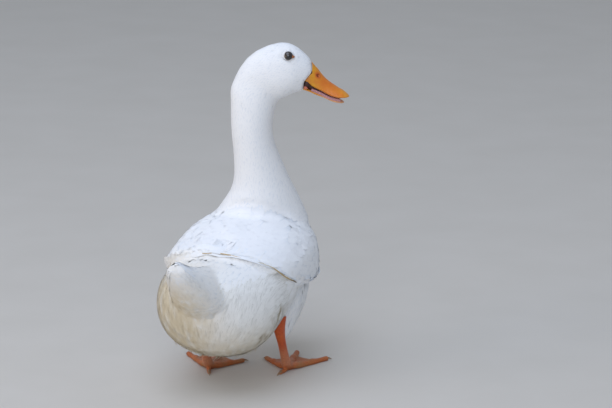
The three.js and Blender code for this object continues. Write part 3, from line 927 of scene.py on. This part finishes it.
def plumes(name, chosen, spacing, strands, length, width, spread, stand_out, seed, material):
    """Locks of narrow strands that spread from each root."""
    dice = np.random.default_rng(seed)
    roots, normals = scattered(chosen, spacing, seed)
    roots, normals = np.repeat(roots, strands, axis=0), np.repeat(normals, strands, axis=0)
    way = lie_of_coat(roots, normals)
    side = np.cross(normals, way)
    roots = roots + side * dice.normal(0, spacing * 0.45, len(roots))[:, None]
    way = unit(way + side * dice.normal(0, spread, len(roots))[:, None])
    size = 1 + dice.normal(0, 0.22, len(roots))
    lines = grown(roots - way * (length * 0.25), way, length * size, 4, None, 0.75)
    low = step(-(roots[:, 2] * 1000), -74, -44)
    lift = (
        stand_out * np.abs(dice.normal(0, 1, len(roots))) + dice.normal(0, 0.0001, len(roots))
    ) * (0.1 + low)
    grid = vanes(
        lines, width * size, 1, coat_depth(roots) * 0.22, lift, 0 * lift, POINTED_VANE, 0.8, dice, 0.0
    )
    piece = feather_mesh(name, [grid])
    piece.data.materials.append(material)
    return piece


coat_of(
    "belly_undercoat",
    [
        dict(
            faces=is_part["trunk"] & fluffy, spacing=0.0060, length=0.022, width=0.0110, joints=4,
            across=3, rough=0.00015, stray=0.2, fray=0.03, lift=-0.0006,
        )
    ],
    41,
    down_white,
    0.85,
)
on_belly = is_part["trunk"] & fluffy
low_belly = on_belly & (face_up < 96)
plumes("stray_wisps", low_belly, 0.0100, 3, 0.019, 0.0012, 0.35, 0.0026, 47, down_white)
plumes("belly_plumes", on_belly, 0.0050, 5, 0.020, 0.0019, 0.22, 0.0003, 43, down_white)

# ---------------------------------------------------------------- wings
# Folded wings: coverts over the shoulder and side, and along the rear edge three of the long stiff flight
# feathers. The outermost of the right wing shows its tan shaft along its lower edge.
wing_white = plumage("wing coverts", "f7f8f9", "e8ebef", 90.0, 40.0)
coat_of(
    "wing_coverts",
    [
        dict(
            faces=is_part[part] & (face_forward > rear) & ~on_back, part=part, spacing=0.0066,
            length=0.026, width=0.0150, joints=5, across=4, rough=0.0001, stray=0.05, root=0.14,
        )
        for part, rear in (("wing_left", -80), ("wing_right", -60))
    ],
    53,
    wing_white,
    0.85,
)


def long_feathers(
    name, curves, widths, lifts, arch, outline, material, across=6, stations=17, sink=0.0015, seed=5
):
    """Stiff feathers whose middle lines follow curves over the form, each on its own strip of the map."""
    dice = np.random.default_rng(seed)
    raw = np.stack([along_curve(curve, stations) for curve in curves])
    places, normals = settled(raw)
    for _ in range(2):
        normals[:, 1:-1] = unit(normals[:, :-2] + normals[:, 1:-1] + normals[:, 2:])
    ways = unit(np.gradient(places, axis=1))
    count = len(curves)
    grid, soft, chart = vanes(
        (places, normals, ways),
        np.array(widths),
        across,
        np.full(count, sink),
        np.array(lifts),
        np.array(widths) * arch,
        outline,
        0.7,
        dice,
    )
    row = np.arange(count)[:, None, None]
    strip = np.stack([(row + 0.04 + 0.42 * chart[..., 0]) / count, 0.01 + 0.98 * chart[..., 1]], axis=-1)
    back_strip = strip + np.array([0.5 / count, 0])
    back = (grid - soft * 0.0004, -soft, chart)
    piece = feather_mesh(name, [(grid, soft, chart), back], [strip, back_strip])
    piece.data.materials.append(material)
    return piece


QUILL = ((0, 0.15, 0.6, 0.85, 0.95, 1), (0.5, 0.9, 1, 0.9, 0.62, 0.25))
HEM = (
    (40, -80, 126), (0, -89, 128), (-30, -88, 131), (-52, -84, 137), (-76, -80, 149), (-98, -67, 167),
    (-105, -36, 175), (-107, -8, 179), (-106, 18, 178), (-103, 36, 171), (-99, 44, 166),
)
INNER = (
    (40, -24, 206), (20, -23, 209), (0, -22, 209), (-20, -20, 206), (-40, -16, 202), (-55, -12, 199),
    (-68, -8, 196), (-78, -4, 193), (-88, 0, 190), (-94, 4, 187), (-98, 8, 185),
)
LEFT_HEM = (
    (40, 81, 126), (0, 90, 128), (-30, 90, 132), (-52, 86, 140), (-72, 79, 150), (-88, 70, 158),
    (-98, 60, 165), (-104, 50, 168), (-107, 40, 171), (-108, 30, 174), (-109, 20, 177),
)


def fan(hem, inner, number):
    """Middle lines between the hem and the innermost feather, a little above the hem itself."""
    hem, inner = np.array(hem, float), np.array(inner, float)
    lines = []
    for i in range(number):
        share = (i + 0.95) / 8.6
        curve = hem * (1 - share) + inner * share
        lines.append([on_bird(*(point + np.array([0, 0, ABOVE_HEM]))) for point in curve])
    return lines


quill_white = plumage("flight feathers", "f3f6fa", "dde3ea", 220.0, 30.0)
left_inner = [(f, -l, u) for f, l, u in INNER]
FLIGHT_FEATHERS = 3  # that show in each wing
ABOVE_HEM = 1.0  # mm
for side, hem, inner, width, first in (
    ("left", LEFT_HEM[:8], left_inner[:8], 0.019, 0.0002),
    ("right", HEM, INNER, 0.018, 0.0006),
):
    long_feathers(
        "flight_feathers_" + side,
        fan(hem, inner, FLIGHT_FEATHERS),
        [width] * FLIGHT_FEATHERS,
        [first + 0.0001 * i for i in range(FLIGHT_FEATHERS)],
        0.03,
        QUILL,
        quill_white,
    )

# ---------------------------------------------------------------- shaft of the outer flight feather
# The bare tan shaft along the hem of the right wing: a thin tapering rod of horn, painted dark at its foot as the
# shadow in the gap under the wing's edge.
material, tree, shader = new_material("tan feather shaft")
vane = node(tree, "ShaderNodeUVMap", {"uv_map": "vane"}).outputs[0]
run = node(tree, "ShaderNodeSeparateXYZ", Vector=vane).outputs["Y"]
# Painted shadow: dark brown at the shaft's foot, where the gap under the wing's edge lies in shade.
shade = mixed(tree, between(tree, run, 0.02, 0.16), paint("5a482c"), paint("c4a976"))
faint = reckon(tree, "MULTIPLY", between(tree, run, 0.30, 0.42), between(tree, run, 0.66, 0.54))
shade = mixed(tree, faint, shade, paint("dcd8cc"))
tree.links.new(shade, shader.inputs["Base Color"])
shader.inputs["Roughness"].default_value = 0.45
hem_line = [on_bird(*point) for point in HEM[3:9]]
ROD = ((0, 0.1, 0.9, 1), (0.8, 1, 0.8, 0.4))
long_feathers(
    "hem_shaft", [hem_line], [0.0014], [0.0015], -0.25, ROD, material,
    across=4, stations=40, sink=-0.0013, seed=6,
)

# ---------------------------------------------------------------- cape
# The long soft shoulder feathers that drape from the foot of the neck over the roots of both wings. Their
# outer edges lie on each wing as a fine raised line.
cape_white = plumage("cape feathers", "f7f8fa", "e8ecf1", 90.0, 35.0)
coat_of(
    "cape",
    [
        dict(
            faces=on_back & (face_forward > -84) & (face_up < fold_height - 3), part="wing_right",
            spacing=0.0075, length=0.032, width=0.0170, joints=6, across=4, rough=0.00005,
            stray=0.05, root=0.35, lift=0.0002, arch=0.05,
        )
    ],
    61,
    cape_white,
    0.85,
)

# ---------------------------------------------------------------- tail
# A short pointed tail, held up and folded like a tent: twelve stiff feathers above, and ten shorter ones
# under them.
TAIL_FEATHERS = 12
TAIL_OVER = (
    (-148, 176, 38), (-172, 180, 34), (-198, 187, 27), (-220, 195, 20), (-234, 201, 14), (-241, 204, 10)
)
TAIL_UNDER = (
    (-172, 104, 30), (-192, 124, 26), (-210, 142, 21), (-226, 160, 16), (-237, 178, 12), (-243, 190, 8)
)


def tail_feathers(name, rows, count, spread, droop, rise, width, lifts, seed):
    """Feathers side by side along the tail. The rows give forward, height and half the tail's breadth."""
    curves = []
    for i in range(count):
        across = -1 + 2 * (i + 0.5) / count
        curves.append([
            on_bird(forward, spread * across * half, height - droop * across**2 * (half / 34) + rise)
            for forward, height, half in rows
        ])
    long_feathers(
        name, curves, [width] * count, lifts, 0.03, QUILL, quill_white,
        across=4, stations=14, seed=seed, sink=0.0012,
    )


order = [0.0004 - 0.0003 * abs(-1 + 2 * (i + 0.5) / TAIL_FEATHERS) for i in range(TAIL_FEATHERS)]
tail_feathers("tail_feathers", TAIL_OVER, TAIL_FEATHERS, 0.84, 34, 3, 0.0085, order, 9)
fewer = TAIL_FEATHERS - 2
tail_feathers("under_tail_feathers", TAIL_UNDER, fewer, 0.8, 0, 0, 0.008, [0.0001] * fewer, 10)

# ---------------------------------------------------------------- bill
# Orange horn over bone: the upper bill with a paler nail at its tip, and the lower bill, which is narrower
# and paler.
upper_bill = grown_together(joined(("bill_upper",), "upper_bill"), BILL_GRAIN, 4)
lower_bill = grown_together(joined(("bill_lower",), "lower_bill"), BILL_GRAIN, 4)
NOSTRIL = (91, 7.2, 385)


def along_head(tree):
    """Outputs that run along the look, to the head's left and up, in metres."""
    place = place_on(tree)
    turned = node(tree, "ShaderNodeMapping", Vector=place, Rotation=(0, 0, -HEAD_TURN)).outputs[0]
    return node(tree, "ShaderNodeSeparateXYZ", Vector=turned).outputs, place


ALONG_BASE = float(np.dot(on_head(0, 0, 0), LOOK))
MIDDLE_BASE = float(np.dot(on_head(0, 0, 0), LOOK_LEFT))
material, tree, shader = new_material("orange bill")
(run, aside, high), place = along_head(tree)
clouds = noise(tree, place, 90.0, 4.0)
shade = mixed(
    tree, between(tree, run, ALONG_BASE + 0.082, ALONG_BASE + 0.100), paint("dd9a16"), paint("dc7d1c")
)
shade = mixed(tree, between(tree, run, ALONG_BASE + 0.112, ALONG_BASE + 0.126), shade, paint("e8971a"))
shade = mixed(tree, reckon(tree, "MULTIPLY", between(tree, clouds, 0.42, 0.68), 0.55), shade, paint("d0651a"))
# Each nostril is painted on the closed bill: a darker orange ring, and a near-black centre that is the painted shade
# of its opening.
for side in (1, -1):
    centre = on_head(NOSTRIL[0], side * (NOSTRIL[1] + 0.6), NOSTRIL[2] + 0.4)
    away = distance(tree, place, tuple(centre))
    shade = mixed(tree, between(tree, away, 0.0058, 0.0030), shade, paint("c8641c"))
    shade = mixed(tree, between(tree, away, 0.0029, 0.0017), shade, paint("4a160c"))
tree.links.new(shade, shader.inputs["Base Color"])
shader.inputs["Roughness"].default_value = 0.42
shader.inputs["Coat Weight"].default_value = 0.12
shader.inputs["Coat Roughness"].default_value = 0.3
bump(tree, shader, clouds, 0.0003, 0.5)
upper_bill.data.materials.append(material)
material, tree, shader = new_material("pale orange lower bill")
(run, aside, high), place = along_head(tree)
clouds = noise(tree, place, 90.0, 4.0)
shade = mixed(
    tree, between(tree, run, ALONG_BASE + 0.085, ALONG_BASE + 0.118), paint("e0912a"), paint("e8b48a")
)
shade = mixed(tree, reckon(tree, "MULTIPLY", clouds, 0.4), shade, paint("d98a30"))
tree.links.new(shade, shader.inputs["Base Color"])
shader.inputs["Roughness"].default_value = 0.45
lower_bill.data.materials.append(material)
for piece, part in ((upper_bill, "bill_upper"), (lower_bill, "bill_lower")):
    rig.ride(piece, "root")
    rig.replaces(piece, part)
    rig.slot(piece, "bill")

# ---------------------------------------------------------------- eyes
# A dark brown eye with a black pupil under a wet clear front. The ball is drawn out in front to a clear
# dome and is flatter behind.
def shaped(piece, chosen, slide, swell, hub, reach):
    """Moves and swells the chosen corners of a piece in edit mode, and those round them follow softly."""
    bpy.ops.object.select_all(action="DESELECT")
    piece.select_set(True)
    bpy.context.view_layer.objects.active = piece
    bpy.ops.object.mode_set(mode="EDIT")
    bpy.ops.mesh.select_mode(type="VERT")
    bpy.ops.mesh.select_all(action="DESELECT")
    bpy.ops.object.mode_set(mode="OBJECT")
    for corner in piece.data.vertices:
        corner.select = chosen(corner.co)
    bpy.ops.object.mode_set(mode="EDIT")
    soft = dict(use_proportional_edit=True, proportional_edit_falloff="SMOOTH", proportional_size=reach)
    bpy.ops.transform.translate(value=slide, **soft)
    bpy.ops.transform.resize(value=swell, center_override=hub, **soft)
    bpy.ops.object.mode_set(mode="OBJECT")


for side, name in ((1, "left"), (-1, "right")):
    centre = on_head(EYE[0], side * EYE[1], EYE[2])
    out = LOOK_LEFT * side
    eye = ball("eyeball_" + name, 48, 24, EYE_RADIUS * 0.001)
    shaped(eye, lambda place: place.z > 0.0053, (0, 0, 0.0004), (1, 1, 1), (0, 0, 0), 0.004)
    shaped(eye, lambda place: place.z < -0.0010, (0, 0, 0.0012), (0.94, 0.94, 0.8), (0, 0, -0.001), 0.002)
    turn = Vector((0, 0, 1)).rotation_difference(Vector(out)).to_matrix().to_4x4()
    eye.data.transform(Matrix.Translation(Vector(centre)) @ turn)
    bpy.ops.object.shade_smooth()
    material, tree, shader = new_material("dark wet eye " + name)
    place = place_on(tree)
    away = distance(tree, place, tuple(centre + out * EYE_RADIUS * 0.001))
    iris = mixed(tree, noise(tree, place, 900.0, 2.0), paint("1c0e08"), paint("2e180b"))
    shade = mixed(tree, between(tree, away, 0.0025, 0.0031), paint("030202"), iris)
    tree.links.new(shade, shader.inputs["Base Color"])
    shader.inputs["Roughness"].default_value = 0.06
    shader.inputs["Coat Weight"].default_value = 1.0
    shader.inputs["Coat Roughness"].default_value = 0.02
    eye.data.materials.append(material)
    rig.ride(eye, "root")
    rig.replaces(eye, "eye_" + name)
    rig.slot(eye, "eye")

# ---------------------------------------------------------------- eyelids
# A soft raised ring of skin round each eye, with a thin dark edge that draws out to a brown corner before
# the eye, and rings of tiny feathers over it.
# Each row of the lid: mm from the eye's axis, how far it is laid to the head, and its whiteness.
LID = (
    (4.4, 0.05, 0.0), (4.62, 0.3, 0.25), (5.1, 0.25, 0.6), (6.1, 0.3, 0.9), (7.4, 0.7, 1.0), (9.2, 1.0, 1.0)
)
EYE_RISE = math.radians(14)  # of the eye's axis above the level


def round_eye_place(side, turns, reach, laid):
    """Places round the eye: on the ball by its edge, and laid to the head further out; longer before it."""
    out = LOOK_LEFT * side * math.cos(EYE_RISE) + np.array([0, 0, math.sin(EYE_RISE)])
    rise = np.array([0, 0, math.cos(EYE_RISE)]) - LOOK_LEFT * side * math.sin(EYE_RISE)
    fore = np.maximum(0, np.cos(turns + 0.2)) ** 5
    near = np.clip((6.4 - reach) / 2.0, 0, 1)
    stretch = reach * (1 + 0.5 * fore * near)
    height = np.sqrt(np.maximum(EYE_RADIUS**2 - np.minimum(reach, 5.2) ** 2, 0)) - 1.3 * fore * near
    height = height - 1.1 * np.maximum(0, reach - 5.2)
    middle = on_head(EYE[0], side * EYE[1], EYE[2])
    flat = 1 - 0.07 * np.abs(np.sin(turns)) * near
    spots = middle + 0.001 * (
        (stretch * np.cos(turns))[:, None] * LOOK + (reach * np.sin(turns) * flat)[:, None] * rise
        + (height + 0.25 * (laid > 0.1) * (laid < 0.5))[:, None] * out
    )
    on_form, normals = settled(spots)
    return spots * (1 - laid) + (on_form + normals * 0.0002) * laid, unit(out * (1 - laid) + normals * laid)


material, tree, shader = new_material("eyelid")
vane = node(tree, "ShaderNodeUVMap", {"uv_map": "vane"}).outputs[0]
lid_axes = node(tree, "ShaderNodeSeparateXYZ", Vector=vane)
round_eye, outward = lid_axes.outputs["X"], lid_axes.outputs["Y"]
fore = reckon(tree, "MAXIMUM", between(tree, round_eye, 0.10, 0.03), between(tree, round_eye, 0.88, 0.95))
edge = mixed(tree, fore, paint("3a2a22"), paint("b06a3c"))
white = reckon(tree, "SUBTRACT", outward, reckon(tree, "MULTIPLY", fore, 0.45))
shade = mixed(tree, between(tree, white, 0.02, 0.34), edge, paint("d9d6d3"))
tree.links.new(shade, shader.inputs["Base Color"])
shader.inputs["Roughness"].default_value = 0.6
turns = np.linspace(0, 2 * np.pi, 61)
for side, name in ((1, "left"), (-1, "right")):
    grid = np.stack([round_eye_place(side, turns, reach, laid)[0] for reach, laid, white in LID])[None]
    over = np.cross(np.gradient(grid, axis=2), np.gradient(grid, axis=1))
    over = unit(over) * np.sign((over * LOOK_LEFT * side).sum(axis=-1, keepdims=True) + 1e-12)
    chart = np.stack(
        np.broadcast_arrays(
            turns[None, None, :] / (2 * np.pi),
            np.array([row[2] for row in LID])[None, :, None] + 0 * grid[..., 0],
        ),
        axis=-1,
    )
    spot = np.array([0.2 if side > 0 else 0.6, 0.1])
    lid = feather_mesh("eyelid_" + name, [(grid, over, chart)], [spot + chart * 0.3])
    lid.data.materials.append(material)

corner_brown = speckled("brown corner of the eye", 700.0, 3.0, "7a3f22", "c07a48", 0.35)
for side, name in ((1, "left"), (-1, "right")):
    flesh = ball("corner_of_eye_" + name, 20, 12, 0.001)
    shaped(flesh, lambda place: place.x > 0.0007, (0.0004, 0, -0.0001), (1, 0.5, 0.4), (0.001, 0, 0), 0.0008)
    turn = Matrix.Rotation(HEAD_TURN, 4, "Z")
    spot = on_head(EYE[0] + 4.6, side * (EYE[1] + 2.6), EYE[2] - 0.4)
    flesh.data.transform(Matrix.Translation(Vector(spot)) @ turn @ Matrix.Diagonal((3.0, 1.7, 2.3, 1)))
    bpy.ops.object.shade_smooth()
    flesh.data.materials.append(corner_brown)
    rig.ride(flesh, "root")
    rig.slot(flesh, "eye")

dice = np.random.default_rng(71)
rings = []
for side in (1, -1):
    for reach, count in ((5.2, 34), (6.0, 40), (6.9, 48), (7.9, 54), (8.9, 60)):
        turn = np.linspace(0, 2 * np.pi, count, endpoint=False) + dice.normal(0, 0.03, count)
        joints = []
        for out_by in (0, 0.8, 1.6, 2.4):
            laid = np.interp(reach + out_by, [row[0] for row in LID], [row[1] for row in LID])
            joints.append(round_eye_place(side, turn, reach + out_by, laid))
        places = np.stack([joint[0] for joint in joints], axis=1)
        normals = np.stack([joint[1] for joint in joints], axis=1)
        ways = unit(np.gradient(places, axis=1))
        normals = unit(normals - ways * (normals * ways).sum(axis=-1, keepdims=True))
        size = np.full(count, 0.0015)
        lines = (places, normals, ways)
        rings.append(vanes(lines, size, 2, size * 0.04, size * 0.16, size * 0.08, ROUND_VANE, 0.8, dice))
piece = feather_mesh("rings_round_the_eyes", rings)
piece.data.materials.append(velvet)

# ---------------------------------------------------------------- corners of the mouth and fringe of the bill
# The wet hollow where the bill opens at each side, filled with near-black pieces as painted shade of the open mouth,
# with a fold of red flesh under it, and the comb of thin pink plates along the edges of the lower bill.
# Painted shade: the inside of the open mouth is coloured near black.
mouth_shade = speckled("dark inside of the mouth", 600.0, 3.0, "24100c", "4d231a", 0.4)
red_flesh = speckled("red flesh of the mouth", 600.0, 3.0, "c8583f", "dc8a72", 0.35)
for side, name in ((1, "left"), (-1, "right")):
    for title, finish, spot, size in (
        ("mouth_corner_", mouth_shade, (76.6, 10.6, 375.0), (4.2, 2.6, 5.2)),
        ("mouth_flesh_", red_flesh, (75.0, 11.4, 370.2), (2.6, 1.9, 1.9)),
        ("mouth_lining_", mouth_shade, (82.0, 4.6, 370.6), (9.0, 4.9, 4.2)),
    ):
        piece = ball(title + name, 24, 14, 0.001)
        ahead, above = (lambda place: place.x > 0.0005), (lambda place: place.z > 0.0007)
        shaped(piece, ahead, (0.0003, 0, -0.0002), (1, 0.8, 0.45), (0.0008, 0, 0), 0.0008)
        shaped(piece, above, (0.0002, 0, 0.0001), (0.6, 0.8, 1), (0, 0, 0.0008), 0.0006)
        turn = Matrix.Rotation(HEAD_TURN, 4, "Z") @ Matrix.Rotation(math.radians(20), 4, "Y")
        shift = Matrix.Translation(Vector(on_head(spot[0], side * spot[1], spot[2])))
        piece.data.transform(shift @ turn @ Matrix.Diagonal((*size, 1)))
        bpy.ops.object.shade_smooth()
        piece.data.materials.append(finish)
        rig.ride(piece, "root")
        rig.slot(piece, "tongue")
plates = []
for side in (1, -1):
    run = np.arange(82.0, 119.0, 0.62)
    rim = np.interp(
        run, [80.5, 87, 93.3, 99.7, 106, 112.4, 118.8], [366.6, 364.4, 361.4, 358.0, 355.1, 353.3, 351.8]
    )
    half = np.interp(run, [80.5, 93.3, 99.7, 106, 112.4, 118.8], [10.0, 9.8, 9.9, 10.4, 10.6, 9.4])
    places = np.array([
        [on_head(a + 0.3 * k, side * (h - 0.25 * k), r - 1.2 + 1.15 * k) for k in range(4)]
        for a, h, r in zip(run, half, rim)
    ])
    ways = unit(np.gradient(places, axis=1))
    normals = np.broadcast_to(LOOK_LEFT * side, places.shape)
    normals = unit(normals - ways * (normals * ways).sum(axis=-1, keepdims=True))
    size = np.full(len(run), 0.0007)
    plates.append(
        vanes((places, normals, ways), size, 2, 0 * size, 0 * size, size * 0.3, ROUND_VANE, 0.2, dice)
    )
comb = feather_mesh("bill_comb", plates)
comb.data.materials.append(speckled("pink comb of the bill", 500.0, 2.0, "a8707c", "d9a7a6", 0.4))
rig.slot(comb, "tongue")

# ---------------------------------------------------------------- claws
# Short blunt claws of grey-brown horn at the ends of the toes, made once and set on each toe.
CLAW_LENGTH = 0.0105
LEGS = ((1, (-38, 40), 4), (-1, (-8, 57), -12))
TOES = ((-37, 56), (2, 74), (40, 70), (-160, 19))
bpy.ops.object.select_all(action="DESELECT")
bpy.ops.mesh.primitive_cone_add(
    vertices=12, radius1=0.0024, radius2=0.0004, depth=CLAW_LENGTH, rotation=(0, math.radians(90), 0)
)
pattern = bpy.context.object
bpy.ops.object.transform_apply(location=False, rotation=True, scale=True)
bpy.ops.object.mode_set(mode="EDIT")
bpy.ops.mesh.select_all(action="SELECT")
bpy.ops.mesh.subdivide(number_cuts=3)
bpy.ops.object.mode_set(mode="OBJECT")
for corner in pattern.data.vertices:
    run = corner.co.x / CLAW_LENGTH + 0.5
    corner.co.z = corner.co.z * 0.9 - 0.0026 * run * run
    corner.co.y *= 0.75
bpy.ops.object.shade_smooth()
claw_horn = speckled("claw horn", 500.0, 3.0, "6e5138", "b08b62", 0.4, 0.0002, 0.6)
for side, heel, turn in LEGS:
    for number, (aim, length) in enumerate(TOES):
        angle = math.radians(aim + turn)
        ahead = np.array([side * math.sin(angle), -math.cos(angle), 0.0])
        spot = on_bird(heel[0], side * heel[1], 0) + ahead * (length + 2.6) * 0.001
        claw = pattern.copy()
        claw.data = pattern.data.copy()
        bpy.context.scene.collection.objects.link(claw)
        claw.name = "claw_%s_%d" % ("left" if side > 0 else "right", number + 1)
        heading = Matrix.Rotation(math.atan2(ahead[1], ahead[0]), 4, "Z")
        claw.data.transform(Matrix.Translation(Vector((spot[0], spot[1], 0.0034))) @ heading)
        claw.data.materials.append(claw_horn)
        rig.ride(claw, "root")
        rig.slot(claw, "leg")
bpy.data.objects.remove(pattern)

# ---------------------------------------------------------------- tongue
# The narrow pink tongue that lies in the open bill.
tongue = frame["nodes"]["tongue"]
tongue.data.materials.clear()
tongue.data.materials.append(speckled("wet pink tongue", 400.0, 3.0, "9a5560", "c98a92", 0.3, 0.0003, 0.5))
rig.slot(tongue, "tongue")

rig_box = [list(corner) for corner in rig.bounds()]
json.dump({"cad": cad_box, "visual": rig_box}, open("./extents.json", "w"))
